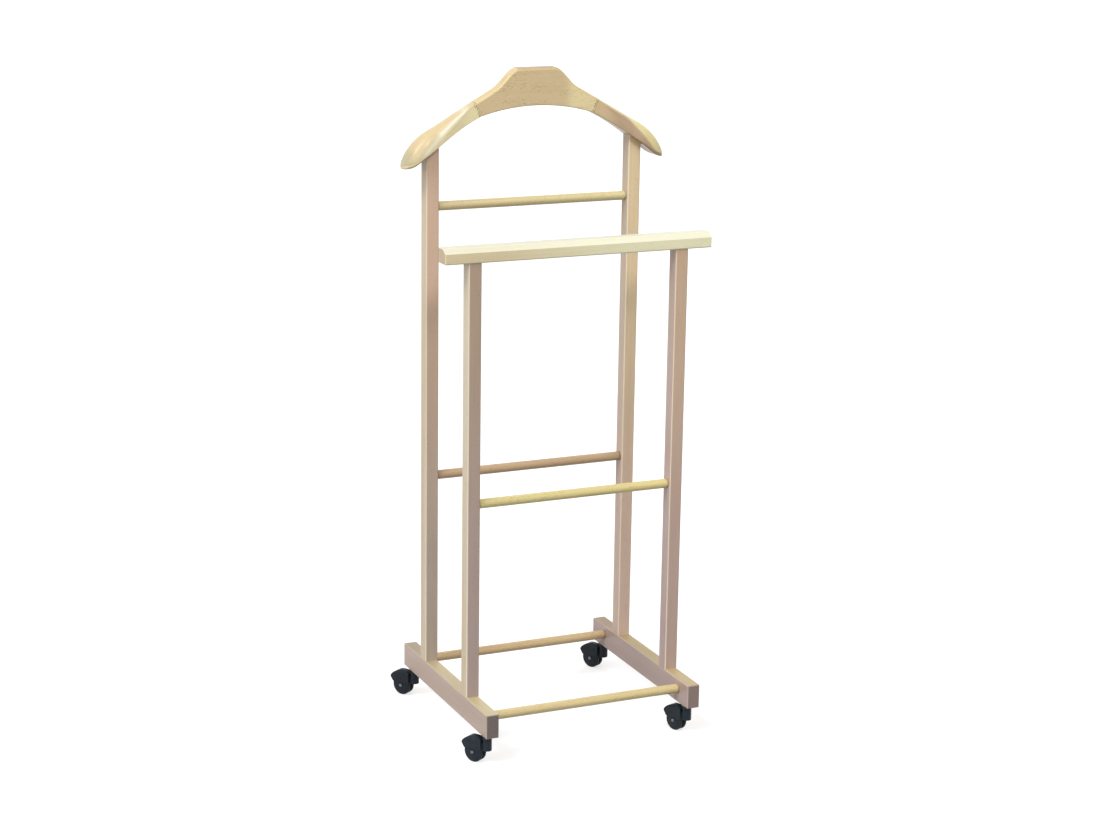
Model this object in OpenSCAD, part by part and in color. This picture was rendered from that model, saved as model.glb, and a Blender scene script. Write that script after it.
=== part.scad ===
// Clothes valet stand of turned and planed beech, on four swivelling twin-wheel castors.
// Millimetres, +Z up. The origin lies on the floor under the middle of the two runners.
// The front, with the trouser bar, faces -Y, and the coat hanger is at the back.

/* [Base frame] */
// Width over the outer faces of the two runners
stand_w = 375; // [330:1:420]
// Length of a runner, front to back
runner_l = 365; // [340:1:420]
// Height of a runner
runner_h = 40; // [36:0.5:50]
// Radius of the rounded top and bottom corners at a runner's rear end
runner_rear_r = 5; // [3:0.5:16]
// Height of the runners' underside above the floor
ground_gap = 50; // [50:0.5:52]
// Thickness of the wood across the stand, for runners and posts alike
wood_t = 22; // [20:0.5:26]
// Depth of a post, front to back
post_d = 24; // [20:0.5:30]
// Radius of the eased long edges of runners and posts
edge_r = 2.5; // [1:0.1:4]
// From a runner's rear end to the middle of the rear post
rear_post_in = 89.5; // [80:0.5:110]
// From a runner's front end to the middle of the front post
front_post_in = 95.5; // [80:0.5:110]
// Length of a front post, from the runner to the trouser bar
front_post_l = 703; // [500:1:760]

/* [Rails] */
// Diameter of the round rails
rail_d = 15; // [12:0.5:18]
// Depth of the blind holes that hold the rails' ends
rail_seat = 12; // [8:0.5:14]
// Height of the middle rails above the runners' top
mid_rail_up = 316.5; // [200:0.5:450]
// Height of the upper rail above the runners' top
upper_rail_up = 760; // [600:1:780]
// Height of the base rails above the runners' underside
base_rail_up = 24; // [18:0.5:27]
// From a runner's rear end to the middle of the rear base rail
rear_base_rail_in = 46; // [40:0.5:60]
// From a runner's front end to the middle of the front base rail
front_base_rail_in = 36.5; // [34:0.5:60]

/* [Trouser bar] */
// Length of the trouser bar
bar_l = 455; // [430:1:500]
// Depth of the bar, front to back
bar_d = 29; // [26:0.5:36]
// Height of the bar
bar_h = 24.5; // [20:0.5:32]
// Drop of the bevel along the bar's upper front edge
bevel_drop = 8; // [3:0.5:10]
// Run of the bevel along the bar's upper front edge
bevel_run = 11; // [3:0.5:13]
// Radius of the bar's other edges
bar_edge_r = 2.5; // [1:0.1:3.5]

/* [Coat hanger] */
// Length of the coat hanger, tip to tip
hanger_l = 460; // [440:1:480]
// Height of the hanger's arch above the runners' top, at its crown
arch_up = 915.5; // [850:0.5:930]
// Radius of the arched underside of the hanger's middle piece
arch_r = 332; // [300:1:400]
// Radius of the arched underside of the arms
arm_arch_r = 560; // [500:1:700]
// Slope of an arm's underside where it meets the middle piece
arm_arch_slope = 0.5; // [0.48:0.002:0.52]
// Height of the hanger's middle, from the arch to its flat top
crown_h = 60; // [54:0.5:66]
// Thickness of the hanger's middle, front to back
hanger_t = 22; // [18:0.5:24]
// Depth of the broad shoulders, front to back
shoulder_d = 45; // [36:0.5:50]
// Distance from the rear posts' middle forward to the hanger's middle
hanger_lead = 5; // [2:0.5:7]
// Half width of the hanger's flat top
plateau_half = 30; // [20:0.5:40]
// Distance from the middle at which the raised crown runs out into the arms
crown_foot = 71; // [60:0.5:80]
// Fall of an arm's top for each millimetre outward
arm_slope = 0.556; // [0.5:0.002:0.6]
// Height on the arm's top line at the crown's foot, below the flat top
crown_foot_drop = 32.6; // [28:0.2:36]
// Distance from the middle at which an arm's top begins to curve down to its tip
tip_start = 184; // [180:1:190]
// Distance from the middle at which an arm's underside begins to level out
curl_start = 200; // [196:1:204]
// Blunt end of an arm's tip, between its top and its underside
tip_edge = 3; // [2:0.5:4]
// Radius of the eased upper edges of the hanger's middle
hanger_edge_r = 4.5; // [4:0.5:8]
// Distance from the middle where the dome's front edge starts to fall from the crown
crease_start = 118; // [114:1:126]
// Distance from the middle where the dome's front edge meets the underside
crease_end = 168; // [160:1:176]
// Bluntness of the hanger's ends seen from above: 2 is an ellipse, more is squarer
tip_blunt = 3.2; // [2:0.1:4]
// Distance from the middle to the finger joint, along the arch
seam_low = 97; // [85:0.5:100]
// Distance from the middle to the finger joint, along the top
seam_high = 108; // [102:0.5:115]
// Half depth of the finger joint's zigzag
finger_half = 2.2; // [1:0.1:4]
// Number of teeth in the finger joint
finger_n = 5; // [3:1:8]

/* [Castors] */
// Diameter of a castor wheel
wheel_d = 34; // [32:0.5:35]
// From a runner's end to a castor's swivel axis
castor_in = 22; // [17:0.5:23]
// Distance from the swivel axis back to the axle
trail = 23; // [22:0.5:24]
// Heading of the rear left castor's trail, from +X towards +Y
heading_rear_left = 123; // [0:1:359]
// Heading of the rear right castor's trail
heading_rear_right = 118; // [0:1:359]
// Heading of the front left castor's trail
heading_front_left = 121; // [0:1:359]
// Heading of the front right castor's trail
heading_front_right = 109; // [0:1:359]
// Diameter of the castor's stem
stem_d = 8; // [7:0.5:9]
// Length of stem inside the runner
stem_in = 30; // [24:0.5:33]
// Outer diameter of the socket in the runner
socket_d = 11; // [10:0.5:12]
// Diameter of the socket's flange under the runner
flange_d = 18; // [14:0.5:20]
// Thickness of the socket's flange
flange_t = 2; // [1.5:0.1:2.5]
// Diameter of the axle
axle_d = 4; // [3:0.1:5]
// Outer radius of the hood over the wheels
hood_r = 26.8; // [25:0.1:28]
// Distance of the hood's round centre behind the axle
hood_set_back = 1.8; // [1:0.1:2.5]
// Wall of the hood
hood_wall = 1.2; // [1:0.1:1.4]
// Gap between a wheel's face and the hood's side
hood_gap = 0.4; // [0.4:0.1:1]
// Height of the hood's lower edge above the axle
hood_skirt = 5.2; // [5:0.1:8]
// Height above the axle where the hood's sides lean in
hood_shoulder = 21.8; // [20:0.1:23]
// Half width of the hood's flat top
hood_top_half = 4; // [3:0.1:5]
// Reach of the hood's lower front corner ahead of the axle
nose_reach = 15.4; // [15:0.1:17]
// Reach of the hood's blunt nose ahead of the axle
nose_tip = 20.4; // [19.5:0.1:22]
// Slope of the hood's front edge in degrees
nose_slope = 55; // [50:1:60]
// Height of the neck's top above the axle
neck_top = 17; // [13:0.1:18]
// Diameter of the boss that turns on the stem
boss_d = 15; // [14:0.5:16]
// Height of the boss's lower end above the floor
boss_low = 23.5; // [23:0.5:26]
// Thickness of the web between the wheels
web_t = 3.6; // [3.2:0.1:4]
// Width of a wheel's tread
tread_w = 5.2; // [4.5:0.1:5.4]
// Height of the domed outer face of a wheel
dome_h = 1.4; // [1:0.1:1.4]

/* [Hidden fixings] */
// Diameter of the dowel in a post's foot
foot_dowel_d = 6; // [5:0.5:7]
// Length of the dowel in a post's foot
foot_dowel_l = 36; // [24:1:44]
// Diameter of the long screw through a runner into a post
screw_d = 7; // [6:0.5:7]
// Length of the long screw
screw_l = 66; // [50:1:80]
// Diameter of the screw's head
screw_head_d = 10; // [9:0.5:11]
// Height of the screw's head
screw_head_h = 4; // [3:0.5:5]
// Depth of the counterbore for the screw's head
counterbore = 8; // [6:0.5:10]
// Half the distance between a foot's screw and dowel
foot_pitch_half = 5.5; // [5.3:0.1:6]
// Diameter of the dowels in the upper ends of the posts
top_dowel_d = 8; // [6:0.5:10]
// Length of the dowels under the trouser bar
bar_dowel_l = 30; // [20:1:34]
// Length of the dowels under the coat hanger
hanger_dowel_l = 36; // [28:1:40]

/* [Fits] */
// Radial clearance of glued and pressed joints
glue_gap = 0.05; // [0.02:0.01:0.1]
// Radial clearance of the swivel and of the wheels on their axle
run_gap = 0.06; // [0.03:0.01:0.1]
// Clearance between faces that move past each other
face_gap = 0.3; // [0.2:0.05:0.4]
// Gap left at the bottom of a blind hole
end_gap = 0.4; // [0.2:0.1:1]

/* [Hidden] */
$fn = 48;

// Places shared by the pieces
side_x = stand_w / 2 - wood_t / 2;
inner_x = stand_w / 2 - wood_t;
runner_top = ground_gap + runner_h;
rear_post_y = runner_l / 2 - rear_post_in;
front_post_y = front_post_in - runner_l / 2;
rear_base_y = runner_l / 2 - rear_base_rail_in;
front_base_y = front_base_rail_in - runner_l / 2;
rear_castor_y = runner_l / 2 - castor_in;
front_castor_y = castor_in - runner_l / 2;
base_rail_z = ground_gap + base_rail_up;
mid_rail_z = runner_top + mid_rail_up;
upper_rail_z = runner_top + upper_rail_up;
bar_z = runner_top + front_post_l;
arch_z = runner_top + arch_up;
hanger_y = rear_post_y - hanger_lead;

// Axes of the arcs under the hanger: the middle one, and that of each arm, which starts at the seam
arch_axis_z = arch_z - arch_r;
seam_z = arch_axis_z + sqrt(arch_r * arch_r - seam_low * seam_low);
arm_arch_angle = atan(arm_arch_slope);
arm_axis_x = seam_low - arm_arch_r * sin(arm_arch_angle);
arm_axis_z = seam_z - arm_arch_r * cos(arm_arch_angle);

// Joint between a rear post and its arm: the arch crosses the middle of the post, and the
// dowel stands where post and hanger overlap in depth
hanger_joint_z = arch_at(side_x);
hanger_dowel_y = hanger_y + hanger_lead / 2;
// Depth below the arch's crown that holds all of the curved cut on a post's top
post_cope = arch_z - hanger_joint_z + 2 * wood_t;

// Arc that turns an arm's top down to its tip, tangent to the arm's line, and where it ends
// above the underside, which levels out from its slope at the curl's start
slope_angle = atan(arm_slope);
tip_r = (hanger_l / 2 - tip_start) / (1 - sin(slope_angle));
tip_cx = tip_start - tip_r * sin(slope_angle);
tip_cz = arm_line(tip_start) - tip_r * cos(slope_angle);
curl_rise = (curl_start - arm_axis_x) / sqrt(arm_arch_r * arm_arch_r - pow(curl_start - arm_axis_x, 2));
curl_end = hanger_l / 2 - 2;
tip_z = arch_at(curl_start) - curl_rise * (curl_end - curl_start) / 2;
tip_rise = tip_z + tip_edge - tip_cz;
tip_x = tip_cx + sqrt(tip_r * tip_r - tip_rise * tip_rise);

// Where the arms flare and where their ends turn round
flare_start = seam_high + 4;
flare_end = 192;
round_start = 200;
dome_start = flare_start - 6;
dome_end = side_x - 6;
dome_full = 0.7;
dome_steps = 6;

// Radius of the lower edges: small along most of the hanger, larger under the tips, and where it grows
under_r_middle = 1.5;
under_r_tip = 6;
under_r_start = 168;
under_r_end = 206;

// Castor places
wheel_r = wheel_d / 2;
axle_r = axle_d / 2;
boss_top = ground_gap - flange_t - face_gap;
wheel_in = web_t / 2 + face_gap;
hub_out = wheel_in + tread_w + dome_h;
rivet_h = 1;
rivet_d = axle_d + 2;
ring_t = 1;
ring_z = ground_gap + stem_in - 6;
socket_l = stem_in + 2;
ring_groove_r = stem_d / 2 - 0.8;
hood_half = wheel_in + tread_w + dome_h / 2 + hood_gap + hood_wall;
hood_low = wheel_r + hood_skirt;
hood_back = trail - boss_d / 2 + 1;
wheel_clear = 0.8;
web_r = 8;
neck_w = boss_d - 4;
hub_r = 4.5;
face_ring_r = wheel_r - 3.5;
tread_r = 1.4;

// A small overshoot, so that cuts run clear through faces
over = 1;

// ---- Shapes used by several pieces ----

// Rectangle with round corners, centred on the origin
module eased_rect(w, h, r) {
    square([w, h - 2 * r], center = true);
    square([w - 2 * r, h], center = true);
    for (sx = [-1, 1], sy = [-1, 1])
        translate([sx * (w / 2 - r), sy * (h / 2 - r)])
            circle(r = r);
}

// Height of a circle of radius r about (cx, cz), above x
function circle_at(x, cx, cz, r) = cz + sqrt(max(0, r * r - (x - cx) * (x - cx)));

// Height of the arched underside of the hanger, x millimetres from the middle
function arch_at(x) =
    x < seam_low ? circle_at(x, 0, arch_axis_z, arch_r)
    : circle_at(x, arm_axis_x, arm_axis_z, arm_arch_r);

// Side of a runner: square front end, round rear corners
module runner_side() {
    front = edge_r;
    rear = runner_rear_r;
    half = runner_l / 2;
    translate([front - half, 0])
        square([runner_l - front - rear, runner_h]);
    translate([-half, front])
        square([2 * front, runner_h - 2 * front]);
    translate([half - 2 * rear, rear])
        square([2 * rear, runner_h - 2 * rear]);
    for (z = [front, runner_h - front])
        translate([front - half, z])
            circle(r = front);
    for (z = [rear, runner_h - rear])
        translate([half - rear, z])
            circle(r = rear);
}

// A runner before drilling, on the middle plane
module runner_blank() {
    translate([0, 0, ground_gap])
        intersection() {
            rotate([90, 0, 90])
                linear_extrude(wood_t, center = true)
                    runner_side();
            translate([0, 0, runner_h / 2])
                rotate([90, 0, 0])
                    linear_extrude(runner_l, center = true)
                        eased_rect(wood_t, runner_h, edge_r);
            linear_extrude(runner_h)
                eased_rect(wood_t, runner_l, edge_r);
        }
}

// Blind hole for a rail, opening towards the middle of the stand
module rail_hole(side, y, z) {
    translate([side * (inner_x + rail_seat), y, z])
        rotate([0, -side * 90, 0])
            cylinder(d = rail_d + 2 * glue_gap, h = rail_seat + over);
}

// Hole in a post's foot or a runner, for the screw and the dowel of that foot
module foot_holes(side, y) {
    dowel_low = runner_top - foot_dowel_l / 2 - end_gap;
    screw_tip = ground_gap + counterbore + screw_l - screw_head_h + end_gap;
    translate([side * side_x, y + foot_pitch_half, dowel_low])
        cylinder(d = foot_dowel_d + 2 * glue_gap, h = foot_dowel_l + 2 * end_gap);
    translate([side * side_x, y - foot_pitch_half, ground_gap - over])
        cylinder(d = screw_d + 2 * glue_gap, h = screw_tip - ground_gap + over);
    translate([side * side_x, y - foot_pitch_half, ground_gap - over])
        cylinder(d = screw_head_d + 2 * glue_gap, h = counterbore + over);
}

// Hole in a runner for a castor's socket
module socket_hole(side, y) {
    translate([side * side_x, y, ground_gap - over])
        cylinder(d = socket_d + 2 * glue_gap, h = socket_l + end_gap + over);
}

// ---- Base frame ----

module runner(side) {
    color("burlywood")
        difference() {
            translate([side * side_x, 0, 0])
                runner_blank();
            rail_hole(side, rear_base_y, base_rail_z);
            rail_hole(side, front_base_y, base_rail_z);
            for (y = [rear_post_y, front_post_y])
                foot_holes(side, y);
            for (y = [rear_castor_y, front_castor_y])
                socket_hole(side, y);
        }
}

// A straight post, standing on the runner
module post_blank(side, y, height) {
    translate([side * side_x, y, runner_top])
        linear_extrude(height)
            eased_rect(wood_t, post_d, edge_r);
}

// Hole for a dowel across the joint between a post and what lies on it
module top_dowel_hole(x, y, z, dowel_l) {
    translate([x, y, z - dowel_l / 2 - end_gap])
        cylinder(d = top_dowel_d + 2 * glue_gap, h = dowel_l + 2 * end_gap);
}

module rear_post(side) {
    color("tan")
        difference() {
            post_blank(side, rear_post_y, arch_up);
            difference() {
                translate([side * side_x, rear_post_y, arch_z])
                    cube([2 * wood_t, 2 * post_d, 2 * post_cope], center = true);
                translate([side * arm_axis_x, rear_post_y, arm_axis_z])
                    rotate([90, 0, 0])
                        cylinder(r = arm_arch_r - glue_gap, h = 3 * post_d, center = true, $fn = 360);
            }
            rail_hole(side, rear_post_y, mid_rail_z);
            rail_hole(side, rear_post_y, upper_rail_z);
            foot_holes(side, rear_post_y);
            top_dowel_hole(side * side_x, hanger_dowel_y, hanger_joint_z, hanger_dowel_l);
        }
}

module front_post(side) {
    color("tan")
        difference() {
            post_blank(side, front_post_y, front_post_l);
            rail_hole(side, front_post_y, mid_rail_z);
            foot_holes(side, front_post_y);
            top_dowel_hole(side * side_x, front_post_y, bar_z, bar_dowel_l);
        }
}

// ---- Rails ----

module rail(y, z) {
    length = 2 * (inner_x + rail_seat - end_gap);
    color("wheat")
        translate([0, y, z])
            rotate([0, 90, 0])
                cylinder(d = rail_d, h = length, center = true);
}

// ---- Trouser bar ----

// Section of the bar in the YZ plane, with its bevel at the upper front
module bar_section() {
    r = bar_edge_r;
    intersection() {
        translate([0, bar_h / 2])
            eased_rect(bar_d, bar_h, r);
        polygon([
            [-bar_d / 2, 0],
            [bar_d / 2, 0],
            [bar_d / 2, bar_h],
            [bevel_run - bar_d / 2, bar_h],
            [-bar_d / 2, bar_h - bevel_drop]
        ]);
    }
}

module trouser_bar() {
    color("wheat")
        difference() {
            translate([0, front_post_y, bar_z])
                intersection() {
                    rotate([90, 0, 90])
                        linear_extrude(bar_l, center = true)
                            bar_section();
                    translate([0, 0, bar_h / 2])
                        rotate([90, 0, 0])
                            linear_extrude(2 * bar_d, center = true)
                                eased_rect(bar_l, bar_h, bar_edge_r);
                    linear_extrude(bar_h)
                        eased_rect(bar_l, bar_d, bar_edge_r);
                }
            for (side = [-1, 1])
                top_dowel_hole(side * side_x, front_post_y, bar_z, bar_dowel_l);
        }
}

// ---- Coat hanger ----

// Line of an arm's top: straight from the crown's foot to where the tip begins
function arm_line(x) = arch_z + crown_h - crown_foot_drop - arm_slope * (x - crown_foot);

// A smooth step from 0 at a to 1 at b
function step_up(x, a, b) =
    let (t = min(1, max(0, (x - a) / (b - a)))) t * t * (3 - 2 * t);

// Curve from the flat top down into the arm's line
function crown_curve(x) =
    let (w = crown_foot - plateau_half, t = (x - plateau_half) / w, top = arch_z + crown_h)
    top * (2 * t * t * t - 3 * t * t + 1)
    + arm_line(crown_foot) * (3 * t * t - 2 * t * t * t)
    - arm_slope * w * (t * t * t - t * t);

// Top line of the hanger: flat top, crown, arm and the arc down to the tip
function top_at(x) =
    x <= plateau_half ? arch_z + crown_h
    : x <= crown_foot ? crown_curve(x)
    : x <= tip_start ? arm_line(x)
    : tip_cz + sqrt(max(0, tip_r * tip_r - (x - tip_cx) * (x - tip_cx)));

// Underside of the hanger: the arch, levelling out towards the tip
function under_at(x) =
    x <= curl_start ? arch_at(x)
    : let (run = curl_end - curl_start, t = min(1, (x - curl_start) / run))
      arch_at(curl_start) - curl_rise * run * (t - t * t / 2);

// Half depth of the hanger: slim in the middle, broad at the shoulders, round at the tips
function half_depth(x) =
    let (flare = hanger_t / 2 + (shoulder_d - hanger_t) / 2 * step_up(x, flare_start, flare_end),
         t = max(0, (x - round_start) / (tip_x - round_start)))
    flare * sqrt(max(0.06, 1 - pow(t, tip_blunt)));

// The upper edges grow from an eased corner into one broad dome over the shoulder
function under_r_at(x) =
    under_r_middle + (under_r_tip - under_r_middle) * step_up(x, under_r_start, under_r_end);
function dome_h_at(x) =
    let (full = top_at(x) - under_at(x) - under_r_at(x),
         fall = max(0, min(1, (x - crease_start) / (crease_end - crease_start))))
    hanger_edge_r + (full - hanger_edge_r) * pow(fall, 1.25);
function dome_w_at(x) =
    hanger_edge_r + (half_depth(x) - hanger_edge_r) * step_up(x, dome_start, dome_end);

// Right half of one section, from the underside up to the crown
function section_half(x) =
    let (h = half_depth(x), lo = under_at(x), hi = top_at(x), r = min(under_r_at(x), (hi - lo) / 3, h / 2),
         dh = max(0.5, min(dome_h_at(x), hi - lo - r)), dw = min(dome_w_at(x), h))
    concat(
        [for (a = [0:30:60]) [h - r + r * sin(a), lo + r - r * cos(a)]],
        [for (i = [0:dome_steps]) let (a = 90 * i / dome_steps)
            [h - dw + dw * pow(max(0, cos(a)), dome_full), hi - dh + dh * sin(a)]]
    );

// A whole section, as points in space
function section_at(x) =
    let (half = section_half(abs(x)), n = len(half))
    concat(
        [for (p = half) [x, hanger_y + p[0], p[1]]],
        [for (i = [n - 1:-1:0]) [x, hanger_y - half[i][0], half[i][1]]]
    );

// Stations of the sections along the hanger: closer together where it curves
arm_stations = concat(
    [for (x = [0:8:plateau_half - 1]) x],
    [for (i = [0:6]) plateau_half + (crown_foot - plateau_half) * i / 6],
    [for (i = [1:12]) crown_foot + (tip_start - crown_foot) * i / 12],
    [for (i = [1:9]) tip_start + (tip_x - tip_start) * sin(90 * i / 9)]
);
stations = concat(
    [for (i = [len(arm_stations) - 1:-1:1]) -arm_stations[i]],
    arm_stations
);

// The whole hanger as one swept solid, before it is parted at its finger joints
module hanger_blank() {
    rings = [for (x = stations) section_at(x)];
    n = len(rings[0]);
    m = len(rings);
    points = [for (ring = rings) for (p = ring) p];
    sides = [for (i = [0:m - 2]) for (j = [0:n - 1])
        let (k = (j + 1) % n)
        each [[i * n + j, i * n + k, (i + 1) * n + k], [i * n + j, (i + 1) * n + k, (i + 1) * n + j]]];
    first = [for (j = [n - 1:-1:0]) j];
    last = [for (j = [0:n - 1]) (m - 1) * n + j];
    polyhedron(points = points, faces = concat(sides, [first, last]), convexity = 6);
}

// Zigzag of the finger joint, from below the arch to above the arm, on the right side
function finger_line(shift) =
    let (low = [seam_low + shift, arch_at(seam_low)], high = [seam_high + shift, arm_line(seam_high)],
         count = 2 * finger_n)
    concat(
        [low - [2, 8]],
        [for (i = [0:count]) low + (high - low) * i / count + [i % 2 == 0 ? -finger_half : finger_half, 0]],
        [high + [2, 8]]
    );

// Region of the middle piece, seen from the front
module centre_region() {
    right = finger_line(-glue_gap / 2);
    left = [for (i = [len(right) - 1:-1:0]) [-right[i][0], right[i][1]]];
    polygon(concat(right, [[0, arch_z + 2 * crown_h]], left, [[0, arch_z - crown_h]]));
}

// Region of an arm, seen from the front
module arm_region() {
    inner = finger_line(glue_gap / 2);
    far = hanger_l;
    low = tip_z - crown_h;
    polygon(concat(inner, [[far, arch_z + crown_h], [far, low], [inner[0][0], low]]));
}

// A region seen from the front, carried through the hanger's whole depth
module through() {
    translate([0, hanger_y, 0])
        rotate([90, 0, 0])
            linear_extrude(2 * shoulder_d, center = true)
                children();
}

module hanger_centre() {
    color("tan")
        intersection() {
            hanger_blank();
            through()
                centre_region();
        }
}

module hanger_arm(side) {
    color("burlywood")
        difference() {
            intersection() {
                hanger_blank();
                through()
                    rotate([0, side < 0 ? 180 : 0, 0])
                        arm_region();
            }
            top_dowel_hole(side * side_x, hanger_dowel_y, hanger_joint_z, hanger_dowel_l);
        }
}

// ---- Hidden fixings ----

module foot_dowels() {
    color("peru")
        for (side = [-1, 1], y = [rear_post_y, front_post_y])
            translate([side * side_x, y + foot_pitch_half, runner_top - foot_dowel_l / 2])
                cylinder(d = foot_dowel_d, h = foot_dowel_l);
}

// A long screw with a slotted cheese head, head down
module foot_screw() {
    slot_w = 1.6;
    slot_h = 1.8;
    difference() {
        union() {
            cylinder(d = screw_head_d, h = screw_head_h);
            cylinder(d = screw_d, h = screw_l);
        }
        translate([-screw_head_d, -slot_w / 2, slot_h - screw_head_h])
            cube([2 * screw_head_d, slot_w, screw_head_h]);
    }
}

module foot_screws() {
    color("silver")
        for (side = [-1, 1], y = [rear_post_y, front_post_y])
            translate([side * side_x, y - foot_pitch_half, ground_gap + counterbore - screw_head_h])
                foot_screw();
}

module top_dowel(x, y, z, dowel_l) {
    translate([x, y, z - dowel_l / 2])
        cylinder(d = top_dowel_d, h = dowel_l);
}

module bar_dowels() {
    color("peru")
        for (side = [-1, 1])
            top_dowel(side * side_x, front_post_y, bar_z, bar_dowel_l);
}

module hanger_dowels() {
    color("peru")
        for (side = [-1, 1])
            top_dowel(side * side_x, hanger_dowel_y, hanger_joint_z, hanger_dowel_l);
}

// ---- Castors ----

// Puts a piece at every castor
module at_castors() {
    for (side = [-1, 1], y = [rear_castor_y, front_castor_y])
        translate([side * side_x, y, 0])
            children();
}

// Heading of the castor on one side, at y
function heading_of(side, y) =
    side < 0 ? (y > 0 ? heading_rear_left : heading_front_left)
    : (y > 0 ? heading_rear_right : heading_front_right);

// Turns a piece drawn with its axle along Y and its trail along +X to the castor's heading
module at_castor(side, y) {
    translate([side * side_x, y, 0])
        rotate([0, 0, heading_of(side, y)])
            children();
}

// A flanged sleeve pressed into the runner
module castor_sockets() {
    ring_room = stem_d / 2 + 0.5;
    color("dimgray")
        at_castors()
            difference() {
                union() {
                    translate([0, 0, ground_gap - flange_t])
                        cylinder(d = flange_d, h = flange_t - glue_gap);
                    translate([0, 0, ground_gap - flange_t])
                        cylinder(d = socket_d, h = flange_t + socket_l);
                }
                translate([0, 0, ground_gap - flange_t - over])
                    cylinder(d = stem_d + 2 * glue_gap, h = flange_t + stem_in + end_gap + over);
                translate([0, 0, ring_z - glue_gap])
                    cylinder(r = ring_room, h = ring_t + 2 * glue_gap);
            }
}

// A split spring ring that grips the socket
module castor_grip_rings() {
    slit = 1.5;
    color("silver")
        at_castors()
            translate([0, 0, ring_z])
                difference() {
                    cylinder(r = stem_d / 2 + 0.45, h = ring_t);
                    translate([0, 0, -over])
                        cylinder(r = ring_groove_r + glue_gap, h = ring_t + 2 * over);
                    translate([0, -slit / 2, -over])
                        cube([stem_d, slit, ring_t + 2 * over]);
                }
}

module castor_stem(side, y) {
    low = boss_low + hood_wall + end_gap;
    color("silver")
        translate([side * side_x, y, 0])
            difference() {
                translate([0, 0, low])
                    cylinder(d = stem_d, h = ground_gap + stem_in - low);
                translate([0, 0, ring_z - glue_gap])
                    difference() {
                        cylinder(d = stem_d + over, h = ring_t + 2 * glue_gap);
                        translate([0, 0, -over])
                            cylinder(r = ring_groove_r, h = ring_t + 2 * over + 2 * glue_gap);
                    }
            }
}

// Hood as a block, or drawn in by inset: round about the axle, with sides that lean in at the top
module hood_block(inset) {
    side = hood_half - inset;
    lean = hood_shoulder - 0.4 * inset;
    flat = hood_top_half - 0.4 * inset;
    top = hood_r - inset;
    intersection() {
        translate([-hood_set_back, 0, 0])
            rotate([90, 0, 0])
                cylinder(r = top, h = 4 * hood_half, center = true, $fn = 96);
        rotate([90, 0, 90])
            linear_extrude(height = 4 * hood_r, center = true)
                polygon([
                    [-side, -top],
                    [side, -top],
                    [side, lean],
                    [flat, top],
                    [-flat, top],
                    [-side, lean]
                ]);
    }
}

// Side view of the hood: level lower edge, upright back, sloping front edge and blunt nose
module hood_side() {
    rotate([90, 0, 0])
        linear_extrude(height = 4 * hood_half, center = true)
            polygon([
                [-hood_back, hood_skirt],
                [nose_reach, hood_skirt],
                [nose_tip, hood_skirt + (nose_tip - nose_reach) * tan(nose_slope)],
                [nose_tip, 2 * hood_r],
                [-hood_back, 2 * hood_r]
            ]);
}

// Room inside the hood, on both sides of the web
module hood_room() {
    difference() {
        intersection() {
            hood_block(hood_wall);
            translate([hood_wall - hood_back, -2 * hood_half, -2 * hood_r])
                cube([4 * hood_r, 4 * hood_half, 4 * hood_r]);
        }
        cube([4 * hood_r, web_t, 4 * hood_r], center = true);
    }
}

// Room on both sides of the web, of radius r about the axle
module wheel_rooms(r, room_w) {
    for (turn = [-90, 90])
        translate([trail, -sign(turn) * web_t / 2, wheel_r])
            rotate([turn, 0, 0])
                cylinder(r = r, h = room_w, $fn = 96);
}

// Web between the wheels: round about the axle, and square towards the stem
module hood_web() {
    translate([trail, 0, wheel_r])
        rotate([90, 0, 0])
            cylinder(r = web_r, h = web_t, center = true);
    translate([0, -web_t / 2, boss_low])
        cube([trail, web_t, hood_low - boss_low + over]);
}

// Shell over the wheels, and a neck that joins it to the boss
module hood_shell() {
    difference() {
        union() {
            translate([trail, 0, wheel_r])
                intersection() {
                    hood_block(0);
                    hood_side();
                }
            translate([0, -neck_w / 2, hood_low])
                cube([trail - hood_back + hood_wall, neck_w, neck_top - hood_skirt]);
        }
        translate([trail, 0, wheel_r])
            hood_room();
    }
}

module castor_hood(side, y) {
    color("darkslategray")
        at_castor(side, y)
            difference() {
                union() {
                    hood_shell();
                    hood_web();
                    translate([0, 0, boss_low])
                        cylinder(d = boss_d, h = boss_top - boss_low);
                }
                wheel_rooms(wheel_r + wheel_clear, hood_half - hood_wall - web_t / 2);
                translate([0, 0, boss_low + hood_wall])
                    cylinder(d = stem_d + 2 * run_gap, h = ground_gap);
                translate([trail, 0, wheel_r])
                    rotate([90, 0, 0])
                        cylinder(d = axle_d + 2 * glue_gap, h = 4 * hood_half, center = true);
            }
}

module castor_axle(side, y) {
    half = hub_out + face_gap;
    color("silver")
        at_castor(side, y)
            translate([trail, 0, wheel_r])
                rotate([90, 0, 0])
                    rotate_extrude()
                        polygon([
                            [0, -half - rivet_h],
                            [rivet_d / 2 - rivet_h / 2, -half - rivet_h],
                            [rivet_d / 2, -half],
                            [axle_r, -half],
                            [axle_r, half],
                            [rivet_d / 2, half],
                            [rivet_d / 2 - rivet_h / 2, half + rivet_h],
                            [0, half + rivet_h]
                        ]);
}

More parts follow.
